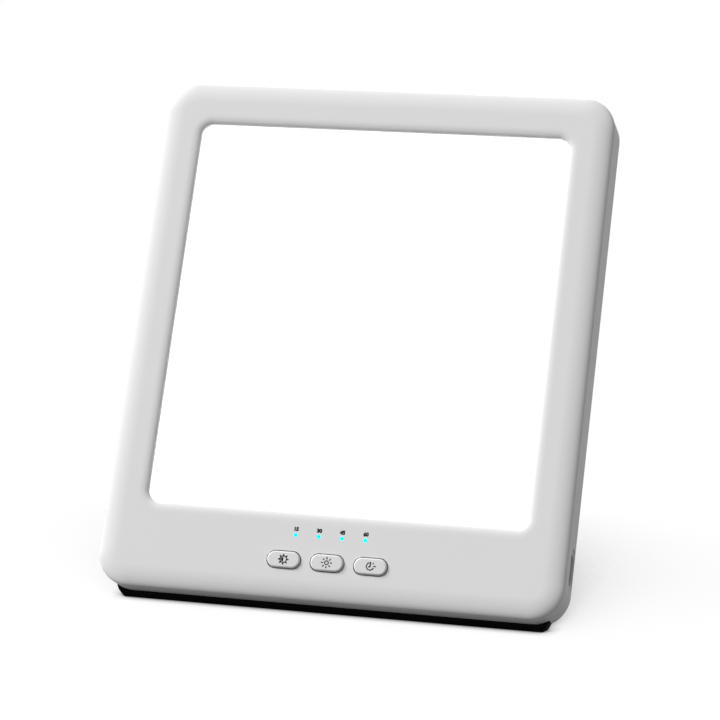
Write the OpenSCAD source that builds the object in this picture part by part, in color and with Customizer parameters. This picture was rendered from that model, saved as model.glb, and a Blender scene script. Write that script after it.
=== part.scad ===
// Light therapy lamp: a slim lit panel that leans back on a fold-out leg.
// The pieces are drawn lying face up: x across the lamp, y up the panel from its
// bottom edge, z out of the front face from the rear rim. standing() then leans the
// lamp back. The origin is the middle of the front foot's flat underside, on the
// table, with +X to the lamp's right as seen from the front and +Z up.

/* [Housing] */
// Width of the housing
body_w = 205; // [196:1:240]
// Height of the housing along the panel
body_h = 232; // [222:1:280]
// Depth of the housing, front face to rear rim
body_d = 19.4; // [19:0.1:24]
// Radius of the housing's corners, seen from the front
corner_r = 14.4; // [13.6:0.1:20]
// How far the rounded front edge reaches in across the face
edge_run = 9.2; // [6:0.1:10.8]
// How far the rounded front edge drops back from the face
edge_drop = 2.3; // [1.8:0.1:4]
// Fullness of the front edge's rounding: 2 is a plain ellipse, more is squarer
edge_fullness = 2; // [2:0.05:2.8]
// Radius of the rear rim
rim_r = 0.8; // [0.6:0.1:2]
// Wall of the front housing
wall = 2.2; // [1.8:0.1:2.6]
// Lean of the panel back from upright, in degrees
lean = 29.7; // [24:0.1:34]

/* [Window] */
// Width of the lit window
window_w = 168; // [140:1:176]
// Height of the lit window
window_h = 175; // [140:0.1:182]
// Housing above the window
window_top = 19.4; // [16:0.1:26]
// Radius of the window's corners
window_r = 5.5; // [3:0.5:9]
// How far the rounded lip reaches out across the face
lip_run = 4.4; // [1.5:0.1:5]
// Depth of the rounded part of the lip
lip_drop = 1.5; // [0.8:0.1:1.7]
// Fullness of the lip's rounding: 2 is a plain ellipse, more is squarer
lip_fullness = 2.35; // [2:0.05:3]

/* [Light stack] */
// Thickness of the diffuser sheet
diffuser_t = 2; // [1.2:0.1:2.4]
// How far the diffuser laps behind the lip
diffuser_lap = 4.2; // [3.4:0.1:4.8]
// Thickness of the light guide
guide_t = 3; // [2.6:0.1:3.2]
// How far the light guide laps behind the lip
guide_lap = 2; // [1.6:0.1:2.6]
// Thickness of the reflector sheet
reflector_t = 0.3; // [0.2:0.05:0.5]
// Thickness of the metal tray behind the light stack
tray_t = 0.8; // [0.6:0.1:1]
// Thickness of a light strip's circuit board
strip_t = 1; // [0.8:0.1:1.2]
// Number of light chips on one strip
chip_count = 22; // [12:1:26]
// Length of a light chip along its strip
chip_l = 3.2; // [2:0.1:4]
// Height of a light chip off its strip
chip_h = 0.8; // [0.6:0.1:0.9]

/* [Controls] */
// Length of a button
button_l = 14.5; // [12:0.1:16]
// Width of a button
button_w = 7.2; // [6.5:0.1:10]
// Height of a button above the face
button_rise = 0.9; // [0.8:0.1:1.8]
// Radius of a button's rounded top edge
button_edge_r = 0.8; // [0.3:0.1:1]
// Distance between button centres
button_pitch = 19.1; // [17.5:0.1:21]
// Height of the buttons up the panel
button_y = 16.5; // [15:0.1:18]
// Travel of a button
button_travel = 0.5; // [0.3:0.05:0.6]
// Gap round a button
button_gap = 0.45; // [0.25:0.05:0.5]
// Diameter of an indicator light
indicator_d = 1.7; // [1.2:0.1:2.2]
// Distance between indicator lights
indicator_pitch = 10.25; // [8:0.05:12]
// Height of the indicator lights up the panel
indicator_y = 27.6; // [26:0.1:28]
// Number of indicator lights
indicator_count = 4; // [2:1:5]

/* [Power inlet] */
// Height of the power inlet up the panel
inlet_y = 24.4; // [22:0.1:60]
// Distance of the inlet's middle from the rear rim
inlet_z = 6; // [5.9:0.1:6.2]
// Length of the opening for the plug's body
inlet_l = 13.4; // [12:0.1:15]
// Width of the opening for the plug's body
inlet_w = 7.4; // [6.8:0.1:7.8]
// Depth of the opening before the socket's mouth
inlet_depth = 5; // [4.6:0.1:6]
// Length of the shallow flat round the opening
inlet_flat_l = 18.6; // [17:0.1:22]
// Width of the shallow flat round the opening
inlet_flat_w = 9; // [8.4:0.1:9.4]
// Depth of the shallow flat
inlet_flat_depth = 0.4; // [0.2:0.1:0.6]

/* [Stand] */
// Height of the leg's hinge up the panel
hinge_y = 150; // [120:1:160]
// Angle from the folded leg to the open leg, in degrees
open_angle = 50; // [46:1:54]
// Width of the leg
leg_w = 52; // [40:1:64]
// Thickness of the leg
leg_t = 4; // [3.6:0.1:4.2]
// Diameter of the hinge pin
pin_d = 2.4; // [2:0.1:2.6]
// Length of the pin held in each side of the pocket
pin_grip = 5; // [4:0.5:6]
// Length of the leg's heel past the hinge
heel_l = 3.6; // [3.2:0.1:3.8]
// Thickness of the friction washers
washer_t = 0.4; // [0.3:0.05:0.6]
// Height of the rubber pad on the leg's end
pad_h = 5; // [4:0.1:8]
// Radius of the finger notches beside the leg
notch_r = 9; // [7:0.5:11]
// Distance of the front foot's ends from the lamp's sides
foot_end_in = 6.5; // [4:0.5:40]
// Width of the front foot on the bottom wall
foot_w = 6.2; // [4:0.1:8]
// Width of the front foot's flat end on the table
foot_flat_w = 3; // [2:0.1:4]
// Radius of the front foot's round ends, seen from the front
foot_end_r = 9; // [4:0.5:12]
// Gap between the table and the housing's lower rear edge
table_gap = 0.4; // [0.3:0.1:1]

/* [Rear cover] */
// Thickness of the rear cover
cover_t = 2; // [1.8:0.1:2.2]
// Height of the cover's screw pads off its inside
cover_pad_h = 2; // [1.8:0.1:2.4]
// Depth of the counterbores for the cover's screws
screw_sink = 2; // [1.8:0.1:2.2]
// Gap between the cover and the housing wall
cover_gap = 0.2; // [0.15:0.05:0.3]
// Number of vent slots
vent_count = 9; // [3:2:15]
// Length of a vent slot
vent_l = 22; // [10:1:30]
// Width of a vent slot
vent_w = 2; // [1.5:0.1:2.5]

/* [Hidden] */
$fn = 48;
eps = 0.01;

// Light stack, from the inside of the face back to the tray
face_in = body_d - wall;
diffuser_top = face_in;
guide_top = diffuser_top - diffuser_t;
reflector_top = guide_top - guide_t;
tray_top = reflector_top - reflector_t;
tray_bottom = tray_top - tray_t;
window_y = body_h - window_top - window_h / 2;
tray_play = 0.2;
bed_gap = 0.3;
chip_gap = 0.2;
chip_x = window_w / 2 + guide_lap + chip_gap;
strip_x = chip_x + chip_h;
strip_w = guide_top - tray_top - tray_play;
strip_end = 3;
strip_l = window_h - 2 * strip_end;
tray_x = strip_x + strip_t + tray_t;
tray_half_h = window_h / 2 + guide_lap + tray_play + tray_t;
chip_end = 6;
chip_pitch = (strip_l - 2 * chip_end) / (chip_count - 1);
chip_w = 2;

// Screws: shank, head and the bosses that they bite in
screw_r = 1.05;
pilot_r = 1.1;
head_r = 2.4;
head_h = 1.5;
boss_r = 2.8;
small_boss_r = 2.4;
screw_l = 9;
bore_play = 0.45;
pilot_end = 1;
pad_r = boss_r + 1.4;

// Places of the screws
inner_x = body_w / 2 - wall;
cover_off = (corner_r - wall - pad_r - 0.8) * cos(45);
cover_x = body_w / 2 - corner_r + cover_off;
cover_y0 = corner_r - cover_off;
cover_seat = cover_t + cover_pad_h;
corner_places = [for (sx = [-1, 1]) for (y = [cover_y0, body_h - cover_y0]) [sx * cover_x, y]];
// The two screws beside the tray bite in short posts that stop below it
post_in = 4.5;
post_top = tray_bottom - 0.4;
post_screw_l = post_top - screw_sink - 0.4;
post_places = [for (sx = [-1, 1]) [sx * (inner_x - post_in), window_y]];
cover_places = concat(corner_places, post_places);
tray_tab_w = 8;
tray_tab_in = 14;
tray_tab_out = 4.6;
tray_bite = 4.7;
tray_places = [for (sx = [-1, 1]) for (sy = [-1, 1])
               [sx * (tray_x - tray_tab_in), window_y + sy * (tray_half_h + tray_tab_out)]];

// Control board, its screws and the switches
board_in = 16;
board_w = window_w - 2 * board_in;
board_y0 = 5.5;
board_gap = 1.9;
board_y1 = window_y - tray_half_h - board_gap;
board_t = 1.6;
board_bite = 4;
switch_h = 3.5;
switch_w = 6;
plunger_r = 1.75;
plunger_play = 0.1;
cap_flange = 1;
cap_flange_t = 1.1;
cap_rest_gap = 0.25;
flange_top = face_in - cap_rest_gap;
flange_bottom = flange_top - cap_flange_t;
switch_top = flange_bottom - button_travel - 0.25;
board_top = switch_top - switch_h;
board_bottom = board_top - board_t;
board_screw_x = board_w / 2 - 5;
board_screw_y = 4;
board_places = [for (sx = [-1, 1]) for (y = [board_y0 + board_screw_y, board_y1 - board_screw_y])
                [sx * board_screw_x, y]];
function button_x(i) = (i - 1) * button_pitch;
function indicator_x(i) = (i - (indicator_count - 1) / 2) * indicator_pitch;
pipe_bar_w = 3;
pipe_bar_h = 1.6;
pipe_foot = 1.4;
pipe_foot_l = 1.5;
pipe_end = 3;
indicator_chip_l = 1.6;
indicator_chip_w = 0.8;
indicator_chip_h = 0.7;
connector_in = 12;
connector_up = 13;
connector_x = board_screw_x - connector_in;
connector_y = board_y0 + connector_up;
connector_l = 8;
connector_w = 5;
connector_h = 3;
driver_w = 10;
driver_h = 1.6;
driver_x = -8;
driver_up = 4;
driver_y = board_y0 + driver_up;
coil_r = 4.5;
coil_h = 3;
coil_x = 22;
tank_r = 2.6;
tank_h = 2.6;
tank_x = -24;
tank_pitch = 8;
coil_up = 9;
coil_y = board_y0 + coil_up;

// Power inlet: socket, its board and the wall opening
socket_l = 9;
socket_w = 3.2;
socket_depth = 7.4;
socket_wall = 0.35;
inlet_board_t = 1.6;
inlet_board_l = 20;
inlet_board_w = 22;
socket_x1 = body_w / 2 - inlet_depth;
inlet_board_x1 = socket_x1 - 0.8;
inlet_board_top = inlet_z - socket_w / 2;
inlet_board_bottom = inlet_board_top - inlet_board_t;
inlet_post_r = 2.2;
inlet_screw_l = 4;
inlet_screw_in = 5;
inlet_screw_x = inlet_board_x1 - inlet_board_w + inlet_screw_in;
inlet_screw_edge = 3.4;
inlet_screw_y = inlet_board_l / 2 - inlet_screw_edge;
inlet_places = [for (s = [-1, 1]) [inlet_screw_x, inlet_y + s * inlet_screw_y]];
tongue_w = 6.6;
tongue_t = 0.7;
socket_back_t = 0.5;
tongue_short = 0.8;

// Stand: pocket, hinge, leg and the place where it meets the table
hinge_z = leg_t / 2 + 0.4;
pocket_d = leg_t + 0.9;
pocket_wall = 1.6;
pocket_side_gap = washer_t + 0.1;
pocket_w = leg_w + 2 * pocket_side_gap;
rake = open_angle - lean;
// Height of the drawing frame's origin over the table
base_z = table_gap + rim_r - rim_r * (cos(lean) + sin(lean));
hinge_rise = base_z + hinge_y * cos(lean) + hinge_z * sin(lean);
// Reach from the hinge along the leg to the table, q to the inner side of its middle
function leg_reach(q) = (hinge_rise - q * sin(rake)) / cos(rake);
leg_l = leg_reach(0) - pad_h;
leg_corner_r = 7;
pocket_y0 = hinge_y - leg_reach(-leg_t / 2) - 0.6;
heel_t = leg_t * 0.75;
heel_gap = 0.15;
heel_sweep = sqrt(heel_l * heel_l + heel_t * heel_t / 4) + 0.4;
pocket_y1 = hinge_y + heel_sweep;
well_d = hinge_z + heel_l * sin(open_angle) + heel_t / 2 * cos(open_angle) + 0.25;
// The heel's stop face at the open angle, as a height z over y past the hinge
stop_off = heel_t / 2 + heel_gap;
function stop_y(z) = (z - hinge_z - stop_off * cos(open_angle)) / tan(open_angle)
                     - stop_off * sin(open_angle);
pin_r = pin_d / 2;
pin_play = 0.05;
pin_hold_play = 0.02;
hinge_block_w = pin_grip + 1.2;
hinge_block_h = 8;
barrel_r = leg_t / 2;
washer_r = barrel_r - 0.1;
notch_up = 16;
notch_y = pocket_y0 + notch_up;

// Front foot: a strip under the bottom wall and its corners, cut flat at the table
foot_z0 = rim_r + 0.6;
function table_y(z) = -(base_z + z * sin(lean)) / cos(lean);
foot_mid_z = foot_z0 + foot_flat_w / 2;
foot_l = body_w - 2 * foot_end_in;
// Where the middle of the foot's underside lies before the lamp is stood on it
foot_row_y = table_y(foot_mid_z) * sin(lean) - foot_mid_z * cos(lean);

// Vents, midway between the stand's pocket and the top of the lamp
vent_pitch = vent_w * 2.5;
vent_y0 = (pocket_y1 + body_h) / 2 - (vent_count - 1) / 2 * vent_pitch;

// Stands the face-up lamp on its foot, leaning back
module standing() {
    translate([0, -foot_row_y, base_z]) rotate([90 - lean, 0, 0]) children();
}

// ---- Shared shapes ----

// Rectangle with true round corners, centred
module round_rect(w, h, r) {
    square([w - 2 * r, h], center = true);
    square([w, h - 2 * r], center = true);
    for (sx = [-1, 1]) for (sy = [-1, 1])
        translate([sx * (w / 2 - r), sy * (h / 2 - r)]) circle(r);
}

// Slot with round ends, long in x
module obround(l, w) {
    square([l - w, w], center = true);
    for (s = [-1, 1]) translate([s * (l - w) / 2, 0]) circle(w / 2);
}

// Plate with round corners between two heights
module round_plate(w, h, r, z0, z1) {
    translate([0, 0, z0]) linear_extrude(z1 - z0) round_rect(w, h, r);
}

// Sweeps an edge outline round a rounded rectangle and fills its middle.
// The outline is drawn from the corner's centre (x = 0) outwards, up in y.
module swept_body(w, h, r, z0, z1, outline) {
    cx = w / 2 - r;
    cy = h / 2 - r;
    translate([0, 0, (z0 + z1) / 2]) cube([2 * cx, 2 * cy, z1 - z0], center = true);
    for (i = [0:3]) {
        long = i % 2 == 0 ? cy : cx;
        out = i % 2 == 0 ? cx : cy;
        rotate(90 * i) translate([out, 0, 0]) rotate([90, 0, 0])
            linear_extrude(2 * long, center = true) polygon(outline);
        sx = i == 0 || i == 3 ? 1 : -1;
        sy = i < 2 ? 1 : -1;
        translate([sx * cx, sy * cy, 0]) rotate(90 * i)
            rotate_extrude(angle = 90) polygon(outline);
    }
}

// Quarter of an ellipse, or of a squarer curve, from the face out and down to the side
edge_steps = 10;
function edge_curve(run, drop, fullness) =
    [for (i = [0:edge_steps]) let (a = 90 * i / edge_steps)
        [run * pow(sin(a), 2 / fullness), -drop * (1 - pow(cos(a), 2 / fullness))]];

// Outline of a shell's edge: rear rim, side, rounded front edge
function shell_outline(r, z0, z1, rim, run, drop) = concat(
    [[0, z0]],
    [for (i = [0:4]) let (a = 90 * i / 4) [r - rim + rim * sin(a), z0 + rim - rim * cos(a)]],
    [for (i = [edge_steps:-1:0]) let (p = edge_curve(run, drop, edge_fullness)[i])
        [r - run + p[0], z1 + p[1]]],
    [[0, z1]]);

// Outline of the cut that opens the window through its rounded lip
function window_outline(r, z0, z1) = concat(
    [[0, z0], [r, z0]],
    [for (i = [0:edge_steps]) let (p = edge_curve(lip_run, lip_drop, lip_fullness)[edge_steps - i])
        [r + lip_run - p[0], z1 + p[1]]],
    [[r + lip_run, z1 + 1], [0, z1 + 1]]);

// Pan-head screw, head down at z = 0 and shank up
module screw(l) {
    cylinder(h = head_h, r = head_r);
    translate([0, 0, head_h - eps]) cylinder(h = l + eps, r = screw_r);
}

// Boss that hangs from the front wall to z0, with its pilot hole
module boss(p, z0, r) {
    translate([p[0], p[1], z0]) cylinder(h = face_in - z0 + eps, r = r);
}
module pilot(p, z0, depth) {
    translate([p[0], p[1], z0 - 1]) cylinder(h = depth + 1, r = pilot_r);
}

// ---- Housing ----

module front_frame() {
    centre = [0, body_h / 2, 0];
    color("gainsboro") difference() {
        union() {
            difference() {
                translate(centre) swept_body(body_w, body_h, corner_r, 0, body_d,
                    shell_outline(corner_r, 0, body_d, rim_r, edge_run, edge_drop));
                frame_cavity(centre);
                stack_bed();
            }
            for (p = corner_places) boss(p, cover_seat, boss_r);
            for (p = post_places) side_post(p);
            for (p = tray_places) boss(p, tray_top, small_boss_r);
            for (p = board_places) boss(p, board_top, small_boss_r);
        }
        translate([0, window_y, 0]) swept_body(window_w, window_h, window_r, diffuser_top - 1,
            body_d + 1, window_outline(window_r, diffuser_top - 1, body_d));
        for (i = [0:2]) translate([button_x(i), button_y, face_in - 1])
            linear_extrude(wall + 2) obround(button_l + 2 * button_gap, button_w + 2 * button_gap);
        for (i = [0:indicator_count - 1]) translate([indicator_x(i), indicator_y, face_in - 1])
            cylinder(h = wall + 2, d = indicator_d + 0.1);
        inlet_cut();
        for (p = corner_places) pilot(p, cover_seat, screw_sink + screw_l + pilot_end - cover_seat);
        for (p = post_places) pilot(p, cover_seat, post_top + pilot_end - cover_seat);
        for (p = tray_places) pilot(p, tray_top, tray_bite + pilot_end);
        for (p = board_places) pilot(p, board_top, board_bite + pilot_end);
    }
}

// Flat bed behind the face for the diffuser and the tray, cut into the round inside of
// the housing's edges where the window reaches that far
module stack_bed() {
    x = max(window_w / 2 + diffuser_lap, tray_x) + bed_gap;
    y = max(window_h / 2 + diffuser_lap, tray_half_h) + bed_gap;
    translate([-x, window_y - y, -1]) cube([2 * x, 2 * y, diffuser_top + 1]);
}

// Short post on the side wall, for a screw of the rear cover
module side_post(p) {
    side = p[0] > 0 ? 1 : -1;
    h = post_top - cover_seat;
    translate([p[0], p[1], cover_seat]) cylinder(h = h, r = boss_r);
    translate([p[0] + side * (post_in + eps) / 2, p[1], cover_seat + h / 2])
        cube([post_in + eps, 2 * boss_r, h], center = true);
}

// Hollow of the front housing, open at the rear
module frame_cavity(centre) {
    r = corner_r - wall;
    outline = concat([[0, -1], [r, -1]],
        [for (i = [edge_steps:-2:0]) let (p = edge_curve(edge_run, edge_drop, edge_fullness)[i])
            [r - edge_run + p[0], face_in + p[1]]],
        [[0, face_in]]);
    translate(centre) swept_body(body_w - 2 * wall, body_h - 2 * wall, r, -1, face_in, outline);
}

// Opening in the right wall for the plug's body, with the shallow flat round it
module inlet_cut() {
    translate([inner_x - 1, inlet_y, inlet_z]) rotate([90, 0, 90])
        linear_extrude(wall + 2) obround(inlet_l, inlet_w);
    translate([body_w / 2 - inlet_flat_depth, inlet_y, inlet_z]) rotate([90, 0, 90])
        linear_extrude(inlet_flat_depth + 1) obround(inlet_flat_l, inlet_flat_w);
}

module rear_cover() {
    w = body_w - 2 * wall - 2 * cover_gap;
    h = body_h - 2 * wall - 2 * cover_gap;
    color("whitesmoke") difference() {
        union() {
            translate([0, body_h / 2, 0])
                round_plate(w, h, corner_r - wall - cover_gap, 0, cover_t);
            for (p = cover_places) translate([p[0], p[1], cover_t - eps])
                cylinder(h = cover_pad_h + eps, r = pad_r);
            for (p = inlet_places) translate([p[0], p[1], cover_t - eps])
                cylinder(h = inlet_board_bottom - cover_t + eps, r = inlet_post_r);
            pocket_shell();
        }
        pocket_hollow();
        for (p = cover_places) translate([p[0], p[1], -1]) {
            cylinder(h = screw_sink + 1, r = head_r + bore_play);
            cylinder(h = cover_t + cover_pad_h + 2, r = screw_r + bore_play);
        }
        for (p = inlet_places) translate([p[0], p[1], 0.9])
            cylinder(h = inlet_board_bottom, r = pilot_r);
        translate([0, hinge_y, hinge_z]) rotate([0, 90, 0])
            cylinder(h = pocket_w + 2 * pin_grip + 0.2, r = pin_r + pin_hold_play, center = true);
        for (i = [0:vent_count - 1]) translate([0, vent_y0 + i * vent_pitch, -1])
            linear_extrude(cover_t + 2) obround(vent_l, vent_w);
    }
}

// Outside of the leg's pocket, seen from inside the lamp
module pocket_shell() {
    w = pocket_w + 2 * pocket_wall;
    y0 = pocket_y0 - pocket_wall;
    y1 = pocket_y1 + pocket_wall;
    translate([-w / 2, y0, cover_t - eps])
        cube([w, y1 - y0, pocket_d + pocket_wall - cover_t + eps]);
    well_y0 = stop_y(pocket_d) - 2.4;
    translate([-w / 2, hinge_y + well_y0, cover_t - eps])
        cube([w, pocket_y1 + pocket_wall - hinge_y - well_y0,
              well_d + pocket_wall - 0.1 - cover_t + eps]);
    for (s = [-1, 1]) {
        translate([s * pocket_w / 2, notch_y, cover_t - eps])
            cylinder(h = pocket_d + pocket_wall - cover_t + eps, r = notch_r + pocket_wall);
        translate([s * (pocket_w / 2 + hinge_block_w / 2), hinge_y, (pocket_d + pocket_wall) / 2])
            cube([hinge_block_w, hinge_block_h, pocket_d + pocket_wall], center = true);
    }
}

// Hollow of the pocket: the leg's bed, the well for its heel and the finger notches
module pocket_hollow() {
    translate([-pocket_w / 2, pocket_y0, -1]) cube([pocket_w, pocket_y1 - pocket_y0, pocket_d + 1]);
    for (s = [-1, 1]) translate([s * pocket_w / 2, notch_y, -1])
        cylinder(h = pocket_d + 1, r = notch_r);
    translate([pocket_w / 2, hinge_y, 0]) rotate([0, -90, 0])
        linear_extrude(pocket_w) polygon([
            [pocket_d - 1, stop_y(pocket_d)], [pocket_d, stop_y(pocket_d)],
            [well_d, stop_y(well_d)], [well_d, heel_sweep], [pocket_d - 1, heel_sweep]]);
}

module cover_screws() {
    color("silver") {
        for (p = corner_places) translate([p[0], p[1], screw_sink - head_h]) screw(screw_l);
        for (p = post_places) translate([p[0], p[1], screw_sink - head_h]) screw(post_screw_l);
    }
}

// ---- Light stack ----

module diffuser() {
    lap = 2 * diffuser_lap;
    color("white") translate([0, window_y, 0]) round_plate(window_w + lap, window_h + lap,
        2, guide_top, diffuser_top);
}

module light_guide() {
    lap = 2 * guide_lap;
    color("azure") translate([0, window_y, (guide_top + reflector_top) / 2])
        cube([window_w + lap, window_h + lap, guide_t], center = true);
}

module reflector_sheet() {
    lap = 2 * guide_lap;
    color("white") translate([0, window_y, (reflector_top + tray_top) / 2])
        cube([window_w + lap, window_h + lap, reflector_t], center = true);
}

// Folded aluminium tray: four low walls and four screw tabs
module back_tray() {
    color("silver") difference() {
        union() {
            translate([-tray_x, window_y - tray_half_h, tray_bottom])
                cube([2 * tray_x, 2 * tray_half_h, guide_top - tray_bottom]);
            for (p = tray_places) translate([p[0], p[1], tray_bottom])
                tray_tab(p[1] > window_y ? -1 : 1);
        }
        translate([-tray_x + tray_t, window_y - tray_half_h + tray_t, tray_top])
            cube([2 * (tray_x - tray_t), 2 * (tray_half_h - tray_t), guide_t + 1]);
        for (p = tray_places) translate([p[0], p[1], tray_bottom - 1])
            cylinder(h = tray_t + 2, r = screw_r + bore_play);
        for (s = [-1, 1]) translate([s * strip_lead_x, window_y - tray_half_h - 1, strip_lead_z])
            rotate([-90, 0, 0]) cylinder(h = tray_t + 2, r = lead_r + 0.1);
    }
}

// Tab with a round end, reaching up (s = 1) or down (s = -1) to the tray
module tray_tab(s) {
    reach = tray_tab_out + tray_t;
    cylinder(h = tray_t, r = tray_tab_w / 2);
    translate([-tray_tab_w / 2, s > 0 ? 0 : -reach, 0]) cube([tray_tab_w, reach, tray_t]);
}

module tray_screws() {
    color("silver") for (p = tray_places)
        translate([p[0], p[1], tray_bottom - head_h]) screw(tray_t + tray_bite);
}

// Strip of circuit board on the tray's side wall, s = -1 left or 1 right
module light_strip(s) {
    x0 = s > 0 ? strip_x : -strip_x - strip_t;
    color("white") translate([x0, window_y - strip_l / 2, tray_top]) cube([strip_t, strip_l, strip_w]);
}

module light_chips(s) {
    x0 = s > 0 ? chip_x : -strip_x;
    color("khaki") for (i = [0:chip_count - 1])
        translate([x0, window_y + (i - (chip_count - 1) / 2) * chip_pitch - chip_l / 2,
                   tray_top + (strip_w - chip_w) / 2])
            cube([chip_h, chip_l, chip_w]);
}

// ---- Controls ----

module control_board() {
    color("darkgreen") difference() {
        translate([-board_w / 2, board_y0, board_bottom]) cube([board_w, board_y1 - board_y0, board_t]);
        for (p = board_places) translate([p[0], p[1], board_bottom - 1])
            cylinder(h = board_t + 2, r = screw_r + bore_play);
    }
}

module board_screws() {
    color("silver") for (p = board_places)
        translate([p[0], p[1], board_bottom - head_h]) screw(board_t + board_bite);
}

// Driver chip, coil, two capacitors and two connectors on the board's back
module board_parts() {
    color("dimgray") {
        translate([driver_x, driver_y, board_bottom - driver_h]) cube([driver_w, driver_w, driver_h]);
        translate([coil_x, coil_y, board_bottom - coil_h]) cylinder(h = coil_h, r = coil_r);
        for (i = [0, 1]) translate([tank_x - i * tank_pitch, coil_y, board_bottom - tank_h])
            cylinder(h = tank_h, r = tank_r);
        for (s = [-1, 1])
            translate([s * connector_x - connector_l / 2, connector_y, board_bottom - connector_h])
                cube([connector_l, connector_w, connector_h]);
    }
}

module switch_bodies() {
    color("black") for (i = [0:2]) translate([button_x(i), button_y, board_top]) difference() {
        translate([-switch_w / 2, -switch_w / 2, 0]) cube([switch_w, switch_w, switch_h]);
        translate([0, 0, 1]) cylinder(h = switch_h, r = plunger_r + plunger_play);
    }
}

// Plunger of one switch: it rises to the button's flange
module plunger(i) {
    z0 = board_top + 1 + button_travel + 0.1;
    color("dimgray") translate([button_x(i), button_y, z0]) cylinder(h = flange_bottom - z0, r = plunger_r);
}

// Pill-shaped button with a rounded top edge and a flange behind the wall
module button(i) {
    top = body_d + button_rise;
    l = button_l - button_w;
    r = button_w / 2;
    side = concat([[0, flange_bottom + eps], [r, flange_bottom + eps]],
        [for (k = [0:4]) let (a = 90 * k / 4)
            [r - button_edge_r + button_edge_r * cos(a), top - button_edge_r + button_edge_r * sin(a)]],
        [[0, top]]);
    color("gainsboro") translate([button_x(i), button_y, 0]) {
        for (s = [-1, 1]) translate([s * l / 2, 0, 0]) rotate_extrude() polygon(side);
        rotate([90, 0, 90]) linear_extrude(l, center = true)
            polygon(concat(side, [for (k = [len(side) - 1:-1:0]) [-side[k][0], side[k][1]]]));
        translate([0, 0, flange_bottom]) linear_extrude(cap_flange_t)
            obround(button_l + 2 * cap_flange, button_w + 2 * cap_flange);
    }
}

module indicator_chips() {
    color("cyan") for (i = [0:indicator_count - 1])
        translate([indicator_x(i), indicator_y, board_top + indicator_chip_h / 2])
            cube([indicator_chip_l, indicator_chip_w, indicator_chip_h], center = true);
}

// Clear moulding: one light pin per indicator on a bar that stands on the board
module indicator_light_pipe() {
    span = (indicator_count - 1) * indicator_pitch + 2 * pipe_end;
    bar_z = board_top + pipe_foot;
    color("paleturquoise") {
        translate([-span / 2, indicator_y - pipe_bar_w / 2, bar_z]) cube([span, pipe_bar_w, pipe_bar_h]);
        for (s = [-1, 1])
            translate([s * (span - pipe_foot_l) / 2, indicator_y, board_top + (pipe_foot + eps) / 2])
                cube([pipe_foot_l, pipe_bar_w, pipe_foot + eps], center = true);
        for (i = [0:indicator_count - 1]) translate([indicator_x(i), indicator_y, bar_z])
            cylinder(h = body_d + 0.05 - bar_z, d = indicator_d);
    }
}

// ---- Power inlet ----

module inlet_board() {
    x0 = inlet_board_x1 - inlet_board_w;
    color("darkgreen") difference() {
        translate([x0, inlet_y - inlet_board_l / 2, inlet_board_bottom])
            cube([inlet_board_w, inlet_board_l, inlet_board_t]);
        for (p = inlet_places) translate([p[0], p[1], inlet_board_bottom - 1])
            cylinder(h = inlet_board_t + 2, r = screw_r + bore_play);
    }
}

// Drawn-metal shell of the socket, open to the right
module inlet_socket() {
    color("silver") translate([socket_x1, inlet_y, inlet_z]) rotate([90, 0, -90]) difference() {
        linear_extrude(socket_depth) obround(socket_l, socket_w);
        translate([0, 0, -1]) linear_extrude(socket_depth + 1 - socket_back_t)
            obround(socket_l - 2 * socket_wall, socket_w - 2 * socket_wall);
    }
}

module inlet_tongue() {
    l = socket_depth - socket_back_t - tongue_short;
    color("black") translate([socket_x1 - tongue_short - l / 2, inlet_y, inlet_z])
        cube([l, tongue_w, tongue_t], center = true);
}

module inlet_screws() {
    color("silver") for (p = inlet_places)
        translate([p[0], p[1], inlet_board_top + head_h]) rotate([180, 0, 0]) screw(inlet_screw_l - 1);
}

// ---- Leads ----

lead_r = 0.7;
lead_pitch = 1.7;
lead_end = 1.6;
lead_y = connector_y + 0.9;
lead_z = board_bottom - connector_h / 2;
lead_start_x = connector_x + connector_l / 2;

// Lead through a list of points: straight runs with round joints
module lead(points) {
    for (i = [0:len(points) - 2]) {
        a = points[i];
        b = points[i + 1];
        d = b - a;
        translate(a) rotate([0, acos(d[2] / norm(d)), atan2(d[1], d[0])])
            cylinder(h = norm(d), r = lead_r, $fn = 24);
        if (i > 0) translate(a) sphere(lead_r, $fn = 24);
    }
}

// Two leads from the inlet's board to the control board's right connector
module power_leads() {
    x1 = inlet_board_x1 - inlet_board_w + lead_end;
    color("firebrick") for (k = [0, 1]) {
        y = lead_y + lead_pitch * k;
        lead([[lead_start_x, y, lead_z], [x1, y, lead_z], [x1, y, inlet_board_top]]);
    }
}

// A lead from the control board to the lower end of each light strip
strip_lead_x = strip_x + 0.2;
strip_lead_z = tray_top + 1.6;
module strip_leads() {
    y = lead_y + 2 * lead_pitch;
    y1 = window_y - strip_l / 2;
    color("firebrick") for (s = [-1, 1])
        lead([[s * lead_start_x, y, lead_z], [s * strip_lead_x, y, lead_z],
              [s * strip_lead_x, y, strip_lead_z], [s * strip_lead_x, y1, strip_lead_z]]);
}

// ---- Feet and stand ----

// Outline of the front foot from the front, with its round ends, down to y0
module foot_outline(y0) {
    inner = foot_l / 2 - foot_end_r;
    translate([-foot_l / 2, y0 + foot_end_r]) square([foot_l, body_h / 2]);
    translate([-inner, y0]) square([2 * inner, foot_end_r]);
    for (s = [-1, 1]) translate([s * inner, y0 + foot_end_r]) circle(foot_end_r);
}

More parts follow.
